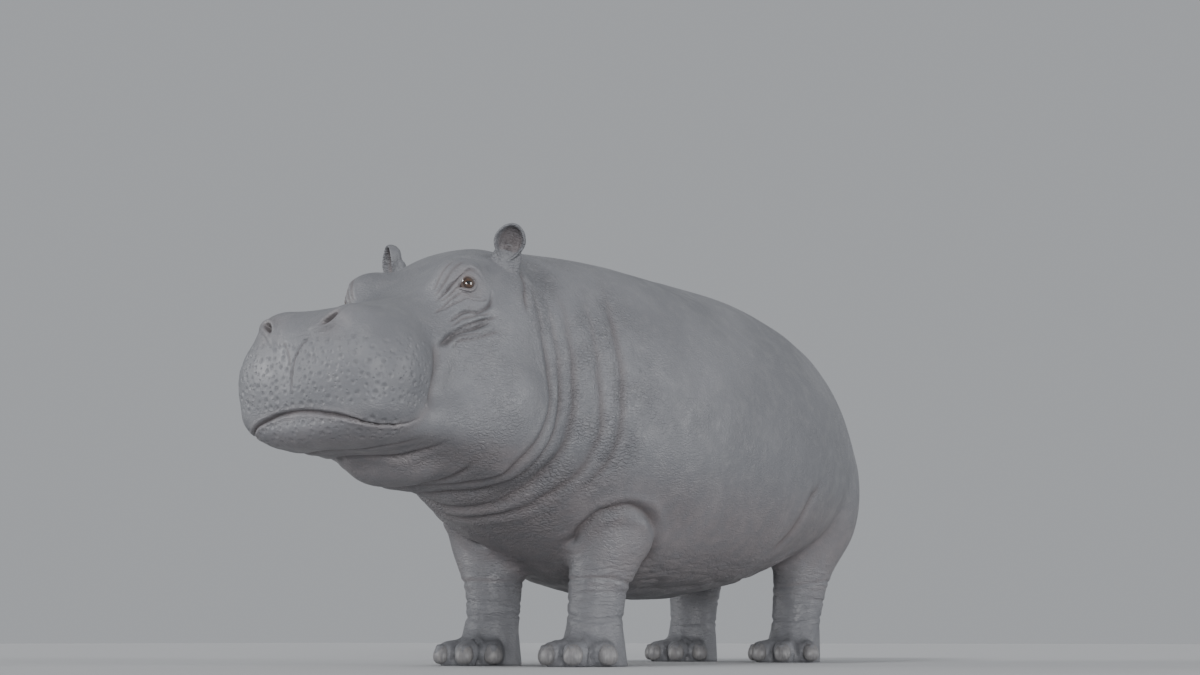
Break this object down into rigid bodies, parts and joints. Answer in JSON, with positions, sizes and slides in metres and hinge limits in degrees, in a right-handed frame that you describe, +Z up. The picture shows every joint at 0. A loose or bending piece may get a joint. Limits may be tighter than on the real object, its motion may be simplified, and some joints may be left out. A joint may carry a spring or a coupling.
{
  "type": "hippopotamus model",
  "caption": "Life-size still model of a standing hippopotamus, mouth closed, head level, weight on all feet.",
  "frame": {"origin": "middle of the model's box at floor level, between the feet", "axes": "+Z up, the animal faces -Y, its left side is +X"},
  "size_m": [1.246, 3.157, 1.4758],
  "materials": {
    "skin": "thick, bare, wrinkled skin, grey-brown with pinkish folds",
    "nail": "dull horn",
    "eye": "wet, dark brown"
  },
  "bodies": {
    "root": {"ear_left": "skin", "ear_right": "skin", "eye_left": "eye", "eye_right": "eye", "foot_front_left": "skin", "foot_front_right": "skin", "foot_hind_left": "skin", "foot_hind_right": "skin", "head": "skin", "jaw": "skin", "leg_front_left": "skin", "leg_front_right": "skin", "leg_hind_left": "skin", "leg_hind_right": "skin", "nail_front_left_1": "nail", "nail_front_left_2": "nail", "nail_front_left_3": "nail", "nail_front_left_4": "nail", "nail_front_right_1": "nail", "nail_front_right_2": "nail", "nail_front_right_3": "nail", "nail_front_right_4": "nail", "nail_hind_left_1": "nail", "nail_hind_left_2": "nail", "nail_hind_left_3": "nail", "nail_hind_left_4": "nail", "nail_hind_right_1": "nail", "nail_hind_right_2": "nail", "nail_hind_right_3": "nail", "nail_hind_right_4": "nail", "neck": "skin", "tail": "skin", "trunk": "skin"}
  },
  "joints": []
}
